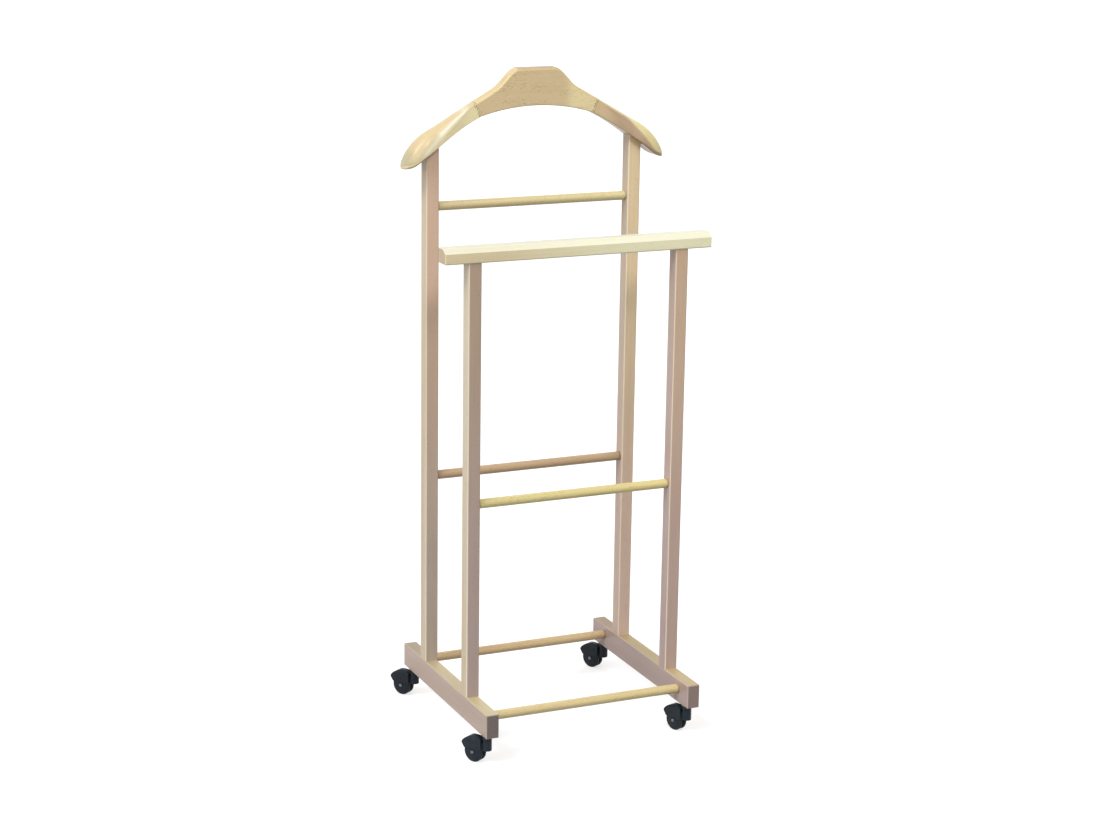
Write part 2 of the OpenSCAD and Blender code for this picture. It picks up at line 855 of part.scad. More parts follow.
// One wheel: flat tread, domed outer face with a ring and a hub; z runs outward from the web
module wheel_shape() {
    bore_r = axle_r + run_gap;
    rotate_extrude($fn = 96)
        polygon([
            [bore_r, 0],
            [wheel_r - tread_r, 0],
            [wheel_r, tread_r],
            [wheel_r, tread_w - tread_r],
            [wheel_r - tread_r, tread_w],
            [face_ring_r + 0.5, tread_w],
            [face_ring_r, tread_w - 0.4],
            [face_ring_r - 0.5, tread_w],
            [hub_r + 3, tread_w + dome_h / 2],
            [hub_r, tread_w + dome_h / 2],
            [hub_r - 0.4, tread_w + dome_h],
            [bore_r, tread_w + dome_h]
        ]);
}

// The outer wheel is on the +Y side of the axle's own frame
module wheel(side, y, outward) {
    color("darkslategray")
        at_castor(side, y)
            translate([trail, outward * wheel_in, wheel_r])
                rotate([-outward * 90, 0, 0])
                    wheel_shape();
}

runner(-1);  // runner_left
runner(1);  // runner_right
rear_post(-1);  // rear_post_left
rear_post(1);  // rear_post_right
front_post(-1);  // front_post_left
front_post(1);  // front_post_right
rail(rear_post_y, upper_rail_z);  // upper_rail
rail(rear_post_y, mid_rail_z);  // rear_middle_rail
rail(front_post_y, mid_rail_z);  // front_middle_rail
rail(rear_base_y, base_rail_z);  // rear_base_rail
rail(front_base_y, base_rail_z);  // front_base_rail
trouser_bar();
hanger_centre();
hanger_arm(-1);  // hanger_arm_left
hanger_arm(1);  // hanger_arm_right
foot_dowels();
foot_screws();
bar_dowels();
hanger_dowels();
castor_sockets();
castor_grip_rings();
castor_stem(-1, rear_castor_y);  // castor_stem_rear_left
castor_stem(1, rear_castor_y);  // castor_stem_rear_right
castor_stem(-1, front_castor_y);  // castor_stem_front_left
castor_stem(1, front_castor_y);  // castor_stem_front_right
castor_hood(-1, rear_castor_y);  // castor_hood_rear_left
castor_hood(1, rear_castor_y);  // castor_hood_rear_right
castor_hood(-1, front_castor_y);  // castor_hood_front_left
castor_hood(1, front_castor_y);  // castor_hood_front_right
castor_axle(-1, rear_castor_y);  // castor_axle_rear_left
castor_axle(1, rear_castor_y);  // castor_axle_rear_right
castor_axle(-1, front_castor_y);  // castor_axle_front_left
castor_axle(1, front_castor_y);  // castor_axle_front_right
wheel(-1, rear_castor_y, 1);  // wheel_rear_left_outer
wheel(-1, rear_castor_y, -1);  // wheel_rear_left_inner
wheel(1, rear_castor_y, 1);  // wheel_rear_right_outer
wheel(1, rear_castor_y, -1);  // wheel_rear_right_inner
wheel(-1, front_castor_y, 1);  // wheel_front_left_outer
wheel(-1, front_castor_y, -1);  // wheel_front_left_inner
wheel(1, front_castor_y, 1);  // wheel_front_right_outer
wheel(1, front_castor_y, -1);  // wheel_front_right_inner
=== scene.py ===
"""Clothes valet stand on castors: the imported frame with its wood, plastic and steel, and a shaped coat hanger."""

import math

import bpy
from mathutils import Matrix, Vector


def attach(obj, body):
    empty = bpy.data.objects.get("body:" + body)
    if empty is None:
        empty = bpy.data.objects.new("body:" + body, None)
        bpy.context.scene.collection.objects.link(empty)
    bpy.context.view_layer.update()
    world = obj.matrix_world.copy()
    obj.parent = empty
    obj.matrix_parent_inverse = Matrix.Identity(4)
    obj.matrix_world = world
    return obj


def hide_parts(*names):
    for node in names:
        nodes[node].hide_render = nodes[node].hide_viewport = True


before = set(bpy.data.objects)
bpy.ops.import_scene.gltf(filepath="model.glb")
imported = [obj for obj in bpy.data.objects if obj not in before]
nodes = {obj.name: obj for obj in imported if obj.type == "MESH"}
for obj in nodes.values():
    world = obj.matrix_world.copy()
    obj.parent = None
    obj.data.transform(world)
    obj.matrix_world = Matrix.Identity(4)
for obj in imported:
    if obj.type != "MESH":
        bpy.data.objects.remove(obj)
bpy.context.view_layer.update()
MM = 0.001


# ---- Colour and node helpers ----

def linear(rgb):
    """An sRGB colour, 0 to 255, as linear values."""
    out = []
    for v in rgb:
        v /= 255.0
        out.append(v / 12.92 if v <= 0.04045 else ((v + 0.055) / 1.055) ** 2.4)
    return tuple(out) + (1.0,)


class Nodes:
    """A material's node tree, with short calls for the nodes used here."""

    def __init__(self, name):
        self.mat = bpy.data.materials.new(name)
        self.mat.use_nodes = True
        self.tree = self.mat.node_tree
        self.tree.nodes.clear()
        self.out = self.add("ShaderNodeOutputMaterial")
        self.shader = self.add("ShaderNodeBsdfPrincipled")
        self.link(self.shader.outputs["BSDF"], self.out.inputs["Surface"])
        coordinates = self.add("ShaderNodeTexCoord")
        self.place = coordinates.outputs["Object"]
        self.normal = coordinates.outputs["Normal"]

    def add(self, kind):
        return self.tree.nodes.new(kind)

    def link(self, a, b):
        self.tree.links.new(a, b)

    def put(self, socket, value):
        if isinstance(value, bpy.types.NodeSocket):
            self.link(value, socket)
        else:
            socket.default_value = value

    def set(self, **values):
        """Sets the shader's own sockets. An underscore in a name stands for a space."""
        for key, value in values.items():
            self.put(self.shader.inputs[key.replace("_", " ")], value)

    def math(self, op, a, b=0.0):
        n = self.add("ShaderNodeMath")
        n.operation = op
        self.put(n.inputs[0], a)
        self.put(n.inputs[1], b)
        return n.outputs[0]

    def times(self, a, b):
        return self.math("MULTIPLY", a, b)

    def mix(self, factor, a, b, blend="MIX"):
        n = self.add("ShaderNodeMix")
        n.data_type = "RGBA"
        n.blend_type = blend
        self.put(n.inputs[0], factor)
        self.put(n.inputs[6], a)
        self.put(n.inputs[7], b)
        return n.outputs[2]

    def tinted(self, color, tint):
        return self.mix(1.0, color, tint, "MULTIPLY")

    def ramp(self, value, low, high, out_low=0.0, out_high=1.0):
        n = self.add("ShaderNodeMapRange")
        n.interpolation_type = "SMOOTHSTEP"
        self.put(n.inputs["Value"], value)
        for key, v in (("From Min", low), ("From Max", high), ("To Min", out_low), ("To Max", out_high)):
            n.inputs[key].default_value = v
        return n.outputs["Result"]

    def split(self, vector):
        n = self.add("ShaderNodeSeparateXYZ")
        self.link(vector, n.inputs[0])
        return n.outputs

    def attribute(self, name):
        n = self.add("ShaderNodeAttribute")
        n.attribute_name = name
        return n.outputs["Fac"]

    def coords(self, cell, shift, turn=(0, 0, 0)):
        """Object coordinates divided into cells of a size in metres, from shift and along axes turned by turn."""
        n = self.add("ShaderNodeMapping")
        n.vector_type = "TEXTURE"
        n.inputs["Location"].default_value = shift
        n.inputs["Rotation"].default_value = turn
        n.inputs["Scale"].default_value = cell
        self.link(self.place, n.inputs["Vector"])
        return n.outputs["Vector"]

    def noise(self, vector, detail, rough, distortion=0.0):
        n = self.add("ShaderNodeTexNoise")
        n.inputs["Scale"].default_value = 1.0
        n.inputs["Detail"].default_value = detail
        n.inputs["Roughness"].default_value = rough
        n.inputs["Distortion"].default_value = distortion
        self.link(vector, n.inputs["Vector"])
        return n.outputs["Fac"]

    def bump(self, height, distance, strength):
        n = self.add("ShaderNodeBump")
        n.inputs["Strength"].default_value = strength
        n.inputs["Distance"].default_value = distance
        self.put(n.inputs["Height"], height)
        self.link(n.outputs["Normal"], self.shader.inputs["Normal"])


# The middle part of a noise, over which roughness changes
MIDDLE = (0.3, 0.7)


# ---- Wood ----

# Cells of the grain in mm, along and across the fibres, and the noise in them: detail, roughness and distortion
BROAD_CELL, BROAD_LOOK = (260, 26), (3.0, 0.55)
RING_CELL, RING_LOOK = (420, 3.4), (3.0, 0.6, 0.25)
FINE_CELL, FINE_LOOK = (38, 0.75), (2.0, 0.6)
BAND_CELL, BAND_LOOK = (60, 14), (2.0, 0.5)
RAY_WIDTH, RAY_LOOK = 0.62, (1.0, 0.4)
PORE_SIZE, PORE_LOOK = 0.9, (2.0, 0.7)

# Parts of the noise over which each feature comes up, and how strong it is: of its own, or as a share of the streaks
BROAD_RANGE, BROAD_DEPTH = (0.36, 0.64), 0.24
RING_PALE = (0.40, 0.60)
RING_DARK, RING_DARK_SHARE = (0.50, 0.34), 0.6
FINE_RANGE, FINE_SHARE = (0.52, 0.70), 0.45
BAND_RANGE, BAND_LEAST = (0.40, 0.60), 0.25
RAY_SOFT = 0.07
PORE_RANGE, PORE_SHARE, ARC_SHARE = (0.40, 0.62), 0.6, 0.4
ARC_SCALE, ARC_WAVE, ARC_DETAIL, ARC_SHIFT = 95.0, 2.5, 2.0, 0.03

# How far a face has turned, as its normal's part along an axis or that part squared, between the first sign of a
# feature and its full strength
CUT_FACE = (0.55, 0.85)
EASED_EDGE = (0.03, 0.30)
TO_LEFT = (0.15, -0.15)
DOWN = (-0.15, -0.60)
FLANK_OUT, FLANK_UP = (0.02, 0.12), (0.20, 0.50)
CREST_FROM, CREST_TO = (0.03, 0.12), (0.44, 0.24)

# How strong the painted highlight on the crown, the painted highlight down a shoulder, the glue and the painted shade
# in a rail's joint are
FLANK_DEPTH = 0.65
CREST_DEPTH = 0.90
SHEEN_DEPTH = 0.75
GLUE_DEPTH = 0.78
JOINT_SHADE_DEPTH = 0.75

# Relief of the fine grain, the rays and the pores, and its depth in metres and strength
FINE_RELIEF, RAY_RELIEF, PORE_RELIEF = 0.5, -0.7, 0.9
RELIEF_DEPTH, RELIEF = 0.00012, 0.7

# The satin lacquer: its roughness over the broad changes of tone, more on a ray, and its coat
SATIN = (0.36, 0.46)
RAY_ROUGH = 0.12
LACQUER_IOR = 1.45
COAT_ROUGH = 0.24

# What a face's tone is multiplied by
PALE_STREAK = (1.07, 1.06, 1.02, 1.0)
DARK_STREAK = (0.80, 0.74, 0.66, 1.0)
RAY_FLECK = (0.52, 0.40, 0.28, 1.0)
CUT_FIBRES = (0.62, 0.52, 0.42, 1.0)
# Painted shade on the eased edges that face right
PAINTED_EDGE_SHADE = (0.62, 0.58, 0.56, 1.0)
# Painted shade on the faces that look down
PAINTED_UNDERSIDE_SHADE = (0.55, 0.46, 0.40, 1.0)
# Painted shade where a rail's end enters its post
PAINTED_JOINT_SHADE = (0.42, 0.32, 0.24, 1.0)

# Tones of their own: a painted highlight on the eased edges, and glue in a seam
PAINTED_EDGE_HIGHLIGHT = (255, 244, 218)
GLUE = (104, 76, 50)

# Distances from the middle between which an arm's tip changes tone, in metres
TIP_TONE_X = (0.206, 0.222)


def face_tone(n, square, faces, fade):
    """The tone of each face, by the axis that it looks along and by how far along the piece it lies. Its tones are
    partly the wood's own and partly painted light and shade, set face by face to how bright each face looks.
    """
    tone = n.mix(square[0], linear(faces[1]), linear(faces[0]))
    up_tone = linear(faces[2])
    if fade:
        lane, near_end, far_end, far = fade
        reached = n.ramp(n.split(n.place)["XYZ".index(lane)], near_end, far_end)
        tone = n.mix(reached, tone, n.mix(square[0], linear(far[1]), linear(far[0])))
        if len(far) > 2:
            up_tone = n.mix(reached, up_tone, linear(far[2]))
    return n.mix(square[2], tone, up_tone)


def painted_ridge_highlight(n, facing, square, tone, ridge_highlight):
    """Painted highlight on the flanks of the hanger's crown and on the lower part of its
    rounded top edges, in a paler tone.
    """
    flank = n.times(n.ramp(square[0], *FLANK_OUT), n.ramp(facing[2], *FLANK_UP))
    tone = n.mix(n.times(flank, FLANK_DEPTH), tone, linear(ridge_highlight))
    crest = n.times(n.ramp(facing[2], *CREST_FROM), n.ramp(facing[2], *CREST_TO))
    return n.mix(n.times(crest, CREST_DEPTH), tone, linear(ridge_highlight))


def dome_tone(n, tone, dome):
    """The milled shoulder of an arm: tones of its face, crest and tip, and of the painted highlight down it where it
    has one. On the right arm the face tone is painted shade and the crest tone painted light.
    """
    shoulder = n.mix(n.attribute("crest"), linear(dome[0]), linear(dome[1]))
    tip = n.ramp(n.math("ABSOLUTE", n.split(n.place)[0]), *TIP_TONE_X)
    tone = n.mix(n.attribute("dome"), tone, n.mix(tip, shoulder, linear(dome[2])))
    if len(dome) > 3:
        tone = n.mix(n.times(n.attribute("painted_sheen"), SHEEN_DEPTH), tone, linear(dome[3]))
    return tone


def end_grain(n, cut, pores, shift, depth):
    """Cut fibres: dotted with pores and darker, with faint arcs of the growth rings."""
    arcs = n.add("ShaderNodeTexWave")
    arcs.wave_type = "RINGS"
    arcs.rings_direction = "SPHERICAL"
    arcs.inputs["Scale"].default_value = ARC_SCALE
    arcs.inputs["Distortion"].default_value = ARC_WAVE
    arcs.inputs["Detail"].default_value = ARC_DETAIL
    n.link(n.coords((1, 1, 1), tuple(ARC_SHIFT + s for s in shift)), arcs.inputs["Vector"])
    marks = n.math("ADD", n.times(n.ramp(pores, *PORE_RANGE), PORE_SHARE), n.times(arcs.outputs["Fac"], ARC_SHARE))
    return n.mix(n.times(marks, depth), cut, n.tinted(cut, CUT_FIBRES))


def wood(name, grain, faces, streak=0.35, fleck=0.5, shift=(0, 0, 0), turn=0.0, seam=False, end=0.35, edge_highlight=0.18,
         far_edge_shade=0.0, fleck_len=3.2, fleck_cut=0.63, ridge_highlight=None, dome=None, end_face=None, fade=None, gloss=0.15,
         joint=None, under_shade=0.0):
    """Lacquered beech.

    grain is the axis of the fibres, which turn tilts about Y, and shift moves the pattern. faces are the tones of
    the faces that look along X, Y and Z, and fade gives an axis, the two places along it between which they change,
    and the far end's tones along X and Y, and along Z where it differs. streak, fleck and end are how strong the
    growth rings, the rays and the end grain are. fleck_len is a ray's length, and a higher fleck_cut leaves fewer.
    edge_highlight and far_edge_shade are how strong the painted highlight on the eased edges on the left and the
    painted shade on those on the right are, under_shade is how much darker, as painted shade, the faces that look
    down are, and joint gives two distances from the middle between which a rail's end is darkened with painted shade
    where it enters its post. end_face is the tone of cut ends, and ridge_highlight, dome and seam are the hanger's:
    see painted_ridge_highlight and dome_tone. gloss is how strong the coat is.
    """
    n = Nodes(name)
    axis = "XYZ".index(grain)
    facing = n.split(n.normal)
    square = [n.math("POWER", n.math("ABSOLUTE", facing[i]), 2.0) for i in range(3)]

    def grain_noise(cell, look):
        size = [cell[1] * MM] * 3
        size[axis] = cell[0] * MM
        return n.noise(n.coords(size, shift, (0, turn, 0)), *look)

    tone = face_tone(n, square, faces, fade)
    if ridge_highlight:
        tone = painted_ridge_highlight(n, facing, square, tone, ridge_highlight)
    if dome:
        tone = dome_tone(n, tone, dome)

    # Broad changes of tone along the board, then the streaks of its growth rings
    broad = grain_noise(BROAD_CELL, BROAD_LOOK)
    rings = grain_noise(RING_CELL, RING_LOOK)
    fine = grain_noise(FINE_CELL, FINE_LOOK)
    dark = n.tinted(tone, DARK_STREAK)
    color = n.mix(n.ramp(broad, *BROAD_RANGE, 0.0, BROAD_DEPTH), tone, dark)
    color = n.mix(n.ramp(rings, *RING_PALE, 0.0, streak), color, n.tinted(tone, PALE_STREAK))
    color = n.mix(n.ramp(rings, *RING_DARK, 0.0, RING_DARK_SHARE * streak), color, dark)
    color = n.mix(n.ramp(fine, *FINE_RANGE, 0.0, FINE_SHARE * streak), color, dark)

    # Short dark flecks, the rays of beech, in loose bands
    rays = grain_noise((fleck_len, RAY_WIDTH), RAY_LOOK)
    bands = grain_noise(BAND_CELL, BAND_LOOK)
    spot = n.times(n.ramp(rays, fleck_cut, fleck_cut + RAY_SOFT), n.ramp(bands, *BAND_RANGE, BAND_LEAST, 1.0))
    color = n.mix(n.times(spot, fleck), color, n.tinted(tone, RAY_FLECK))

    cut_mask = n.ramp(square[axis], *CUT_FACE)
    pores = n.noise(n.coords((PORE_SIZE * MM,) * 3, shift), *PORE_LOOK)
    if end:
        cut = linear(end_face) if end_face else tone
        color = n.mix(cut_mask, color, end_grain(n, cut, pores, shift, end))

    # Painted highlight on the eased edges that face left, and painted shade on those that face right
    flat = n.math("MAXIMUM", n.math("MAXIMUM", square[0], square[1]), square[2])
    eased = n.ramp(n.math("SUBTRACT", 1.0, flat), *EASED_EDGE)
    left = n.ramp(facing[0], *TO_LEFT)
    if edge_highlight:
        color = n.mix(n.times(n.times(eased, left), edge_highlight), color, linear(PAINTED_EDGE_HIGHLIGHT))
    if far_edge_shade:
        right = n.times(eased, n.math("SUBTRACT", 1.0, left))
        color = n.mix(n.times(right, far_edge_shade), color, n.tinted(tone, PAINTED_EDGE_SHADE))

    if seam:
        color = n.mix(n.times(n.attribute("seam"), GLUE_DEPTH), color, linear(GLUE))
    # Painted shade on the faces that look down
    if under_shade:
        below = n.ramp(facing[2], *DOWN)
        color = n.mix(n.times(below, under_shade), color, n.tinted(tone, PAINTED_UNDERSIDE_SHADE))
    # Painted shade on a rail's end where it enters its post
    if joint:
        inside = n.ramp(n.math("ABSOLUTE", n.split(n.place)[0]), *joint, 0.0, JOINT_SHADE_DEPTH)
        color = n.mix(inside, color, n.tinted(tone, PAINTED_JOINT_SHADE))

    relief = n.math("ADD", n.times(fine, FINE_RELIEF), n.times(spot, RAY_RELIEF))
    relief = n.math("ADD", relief, n.times(n.times(pores, cut_mask), PORE_RELIEF))
    n.bump(relief, RELIEF_DEPTH, RELIEF)
    rough = n.math("ADD", n.ramp(broad, *MIDDLE, *SATIN), n.times(spot, RAY_ROUGH))
    n.set(Base_Color=color, Roughness=rough, IOR=LACQUER_IOR, Coat_Weight=gloss, Coat_Roughness=COAT_ROUGH)
    return n.mat


# ---- Plastic and steel ----

# Radius of the wheels, in mm
WHEEL_R = 17.0

# What lies deep in a castor, in mm from the middle between its wheels: the slit between the two wheels, out to
# their rim, and the hood's back in the corner behind its boss. Each pair is where the soft mask starts and is full
SLIT_SIDE = (2.6, 2.2)
SLIT_RIM = (17.4, 16.6)
BACK_FROM = (-18.5, -17.3)
BACK_TO = (-14.0, -15.2)
BACK_SIDE = (9.5, 9.2)
BACK_TOP = (21.0, 20.0)

# How much paler that is written, on the scale of 0 to 255, because little light reaches it
DEEP_LIFT = 24

# Moulded plastic: its spark-eroded grain and its clouds of dust, each with its size in mm, its noise and its range
EROSION_SIZE, EROSION_LOOK, EROSION_RANGE = 0.45, (3.0, 0.6), (0.55, 0.75)
CLOUD_SIZE, CLOUD_LOOK, CLOUD_RANGE = 11, (3.0, 0.55), (0.42, 0.68)
DUST = 0.25
DUST_GAIN, DUST_LIFT = 1.9, 0.012
EROSION_DEPTH, EROSION = 0.00008, 0.35
PLASTIC_IOR = 1.5
PLASTIC_SHINE = 0.20

# Zinc plate: its spangle and its drawn lines, with the cell's size in mm, and how much duller the spangle is
SPANGLE_SIZE, SPANGLE_RANGE, SPANGLE_DEPTH, DULL = 2.5, (0.35, 0.65), 0.6, 0.72
LINE_SIZE, LINE_LENGTH, LINE_DEPTH, LINE = 0.3, 4, 0.00004, 0.5
METAL_LOOK = (2.0, 0.5)


def deep_in_castor(n, castor, hood):
    """1 in the dark places of a castor whose wheel centre and heading are given, and 0 elsewhere."""
    x, y, heading = castor
    along, across, up = n.split(n.coords((MM,) * 3, (x * MM, y * MM, WHEEL_R * MM), (0, 0, heading)))
    side = n.math("ABSOLUTE", across)
    reach = n.math("ADD", n.times(along, along), n.times(up, up))
    slit = n.times(n.ramp(side, *SLIT_SIDE), n.ramp(reach, SLIT_RIM[0] ** 2, SLIT_RIM[1] ** 2))
    if not hood:
        return slit
    back = n.times(n.ramp(along, *BACK_FROM), n.ramp(along, *BACK_TO))
    corner = n.times(n.ramp(side, *BACK_SIDE), n.ramp(up, *BACK_TOP))
    return n.math("MAXIMUM", slit, n.times(back, corner))


def plastic(name, rgb, rough, seed, castor=None, hood=False):
    """Moulded plastic with a fine spark-eroded grain and a little pale dust. Deep in a castor it is painted paler:
    painted light where little light reaches.
    """
    n = Nodes(name)
    shift = (seed, 2 * seed, 3 * seed)
    erosion = n.noise(n.coords((EROSION_SIZE * MM,) * 3, shift), *EROSION_LOOK)
    cloud = n.noise(n.coords((CLOUD_SIZE * MM,) * 3, shift), *CLOUD_LOOK)
    base = linear(rgb)
    pale = tuple(min(1.0, c * DUST_GAIN + DUST_LIFT) for c in base[:3]) + (1.0,)
    color = n.mix(n.ramp(cloud, *CLOUD_RANGE, 0.0, DUST), base, pale)
    color = n.mix(n.ramp(erosion, *EROSION_RANGE, 0.0, DUST), color, pale)
    if castor:
        color = n.mix(deep_in_castor(n, castor, hood), color, linear(tuple(v + DEEP_LIFT for v in rgb)))
    n.bump(erosion, EROSION_DEPTH, EROSION)
    n.set(Base_Color=color, Roughness=n.ramp(cloud, *MIDDLE, rough - 0.05, rough + 0.07), IOR=PLASTIC_IOR,
          Specular_IOR_Level=PLASTIC_SHINE)
    return n.mat


def steel(name, rgb, rough, seed=0.0, metal=1.0):
    """Zinc-plated steel with a soft spangle and drawn lines."""
    n = Nodes(name)
    shift = (seed, seed, seed)
    spangle = n.noise(n.coords((SPANGLE_SIZE * MM,) * 3, shift), *METAL_LOOK)
    lines = n.noise(n.coords((LINE_SIZE * MM, LINE_SIZE * MM, LINE_LENGTH * MM), shift), *METAL_LOOK)
    base = linear(rgb)
    dull = tuple(c * DULL for c in base[:3]) + (1.0,)
    n.bump(lines, LINE_DEPTH, LINE)
    n.set(Base_Color=n.mix(n.ramp(spangle, *SPANGLE_RANGE, 0.0, SPANGLE_DEPTH), base, dull),
          Roughness=n.ramp(lines, *MIDDLE, rough - 0.06, rough + 0.10), Metallic=metal)
    return n.mat


# ---- The frame's pieces ----

def dress(node, material):
    """Gives a CAD node one material."""
    mesh = nodes[node].data
    mesh.materials.clear()
    mesh.materials.append(material)


# Tones of the posts' faces that look along X and along Y, at the head and at the foot, partly painted light: the rear
# posts' fronts are painted paler where the hanger and the bar shade them. Then how strong the painted highlight on
# the left edges is and how strong the rays. The tone changes between two heights, in metres
POST_TOP = (214, 196, 160)
POST_TONE_Z = (0.80, 0.15)
POSTS = {
    "rear_post_left": (((223, 204, 173), (230, 198, 173)), ((216, 197, 169), (199, 183, 169)), 0.70, 0.35),
    "rear_post_right": (((209, 189, 167), (246, 223, 182)), ((213, 187, 174), (236, 208, 191)), 0.70, 0.35),
    "front_post_left": (((233, 219, 193), (192, 169, 148)), ((218, 200, 170), (181, 162, 156)), 0.75, 0.60),
    "front_post_right": (((205, 180, 167), (218, 190, 162)), ((191, 168, 164), (191, 167, 157)), 0.60, 0.35),
}
for i, (node, (head, foot, pale, rays)) in enumerate(POSTS.items()):
    dress(node, wood("wood_" + node, "Z", head + (POST_TOP,), streak=0.20, fleck=rays, edge_highlight=pale, far_edge_shade=0.35,
                     shift=(0.37 * i, 0.4 * i, 0.7), fade=("Z", *POST_TONE_Z, foot)))

# How far the runners' grain is moved along X, then the tones of their sides, of their tops in front and at the rear,
# and of their cut ends. The tops change tone between two places along Y, in metres
RUNNER_TONE_Y = (0.04, 0.15)
RUNNERS = {
    "left": (0.0, (190, 166, 152), (203, 188, 147), (175, 157, 132), (118, 108, 105)),
    "right": (0.37, (184, 161, 156), (191, 171, 125), (172, 149, 122), (145, 129, 122)),
}
for hand, (shift_x, flank, top, top_rear, cut) in RUNNERS.items():
    dress("runner_" + hand, wood("runner_wood_" + hand, "Y", (flank, cut, top), streak=0.15, fleck=0.30,
                                 shift=(shift_x, 0.1, 0.2), end=0.55, end_face=cut, edge_highlight=0.22,
                                 fade=("Y", *RUNNER_TONE_Y, (flank, cut, top_rear))))

# Tones of the round rails at their left and right ends, and where along X these change and a rail enters its post,
# where its end is darkened with painted shade
RAIL_TONE_X = (-0.10, 0.15)
RAIL_JOINT_SHADE_X = (0.1612, 0.1652)
RAILS = {
    "upper_rail": ((227, 211, 163), (229, 219, 166)),
    "rear_middle_rail": ((194, 166, 132), (194, 168, 132)),
    "front_middle_rail": ((225, 212, 149), (230, 215, 149)),
    "rear_base_rail": ((211, 185, 142), (211, 186, 143)),
    "front_base_rail": ((222, 204, 152), (222, 205, 150)),
}
for i, (node, (left, right)) in enumerate(RAILS.items()):
    dress(node, wood("wood_" + node, "X", (left,) * 3, streak=0.42, fleck=0.60, fleck_len=4.5, fleck_cut=0.60,
                     shift=(0.3 * i, 0.17 * i, 0.05), edge_highlight=0.0, fade=("X", *RAIL_TONE_X, (right,) * 2),
                     joint=RAIL_JOINT_SHADE_X))

# Tones of the trouser bar: its ends, its front and rear at the left and at the right, and its top, which is the
# wood's tone made near white with painted light
BAR_TONE_X = (-0.16, 0.06)
BAR_END, BAR_LEFT, BAR_RIGHT, BAR_LIT_TOP = (216, 194, 156), (240, 226, 186), (255, 252, 214), (235, 239, 222)
dress("trouser_bar", wood("trouser_bar_wood", "X", (BAR_END, BAR_LEFT, BAR_LIT_TOP), streak=0.20, fleck=0.25,
                          shift=(0.2, 0.6, 0.3), edge_highlight=0.35, fade=("X", *BAR_TONE_X, (BAR_END, BAR_RIGHT))))

DOWEL = (206, 172, 124)
for node in ("foot_dowels", "bar_dowels", "hanger_dowels"):
    dress(node, wood("wood_" + node, "Z", (DOWEL,) * 3, streak=0.4, fleck=0.5, shift=(0.11, 0.3, 0.4)))

zinc = steel("zinc_steel", (196, 198, 200), 0.34)
for node in ("foot_screws", "castor_grip_rings"):
    dress(node, zinc)
dress("castor_sockets", plastic("castor_socket_plastic", (120, 124, 124), 0.5, 0.4))


# ---- Castors ----

# Tone and seed of the hoods and wheels. The rear ones look darker in the photograph, and their darker tones are
# painted shade
HOODS = {"front": ((26, 36, 45), 0.1), "rear": ((18, 26, 34), 0.3)}
WHEELS = {"front": ((23, 32, 40), 0.7), "rear": ((16, 23, 31), 0.9)}
HOOD_ROUGH, WHEEL_ROUGH = 0.36, 0.40

# Where the stems stand, in mm, how far a wheel's centre trails its stem, and which way each castor points
STEM_X = {"left": -176.5, "right": 176.5}
STEM_Y = {"front": -160.5, "rear": 160.5}
TRAIL = 23.0
HEADING = {"rear_left": 123, "rear_right": 118, "front_left": 121, "front_right": 109}

# Width of the hoods' rounded edges in metres, and the least angle in degrees at which an edge is rounded
HOOD_EASE = 0.0012
HOOD_EASE_FROM = 25
EASE_STEPS = 3


def ease(node, width):
    """Rounds a node's moulded edges."""
    bevel = nodes[node].modifiers.new("eased_edges", "BEVEL")
    bevel.limit_method = "ANGLE"
    bevel.angle_limit = math.radians(HOOD_EASE_FROM)
    bevel.width = width
    bevel.segments = EASE_STEPS
    bevel.harden_normals = True


pin_steel = steel("castor_pin_steel", (112, 118, 128), 0.36, seed=0.2, metal=0.6)
for end in ("rear", "front"):
    for hand in ("left", "right"):
        place = end + "_" + hand
        heading = math.radians(HEADING[place])
        castor = (STEM_X[hand] + TRAIL * math.cos(heading), STEM_Y[end] + TRAIL * math.sin(heading), heading)
        tone, seed = HOODS[end]
        dress("castor_hood_" + place, plastic("castor_hood_plastic_" + place, tone, HOOD_ROUGH, seed, castor, True))
        ease("castor_hood_" + place, HOOD_EASE)
        dress("castor_stem_" + place, zinc)
        dress("castor_axle_" + place, pin_steel)
        tone, seed = WHEELS[end]
        wheel_plastic = plastic("castor_wheel_plastic_" + place, tone, WHEEL_ROUGH, seed, castor)
        for which in ("outer", "inner"):
            dress("wheel_" + place + "_" + which, wheel_plastic)


# ---- Coat hanger: the same form as its solids, finely shaped. All its lengths are in mm ----

HANGER_HALF = 230.0
HANGER_Y = 88.0

# Underside: the arch under the middle piece, the flatter arch of the arms from the seam on, and the curl of the tips
ARCH_Z = 1005.5
ARCH_R = 332.0
ARM_ARCH_R = 560.0
ARM_ARCH_SLOPE = 0.5
CURL_START = 200.0
CURL_END = HANGER_HALF - 2
UNDER_R_MIDDLE = 1.5
UNDER_R_TIP = 6.0
UNDER_R_X = (168.0, 206.0)

# Top: the crown with its flat top and its foot, then the straight slope of the arms and the round tips
CROWN_H = 60.0
PLATEAU_HALF = 30.0
CROWN_FOOT = 71.0
CROWN_FOOT_DROP = 32.6
ARM_SLOPE = 0.556
TIP_START = 184.0
TIP_EDGE = 3.0

# Depth: flat in the middle, flared at the shoulders and rounded off at the tips
HANGER_T = 22.0
SHOULDER_D = 45.0
FLARE_X = (112.0, 192.0)
ROUND_START = 200.0
TIP_BLUNT = 3.2
TIP_THIN = 0.06

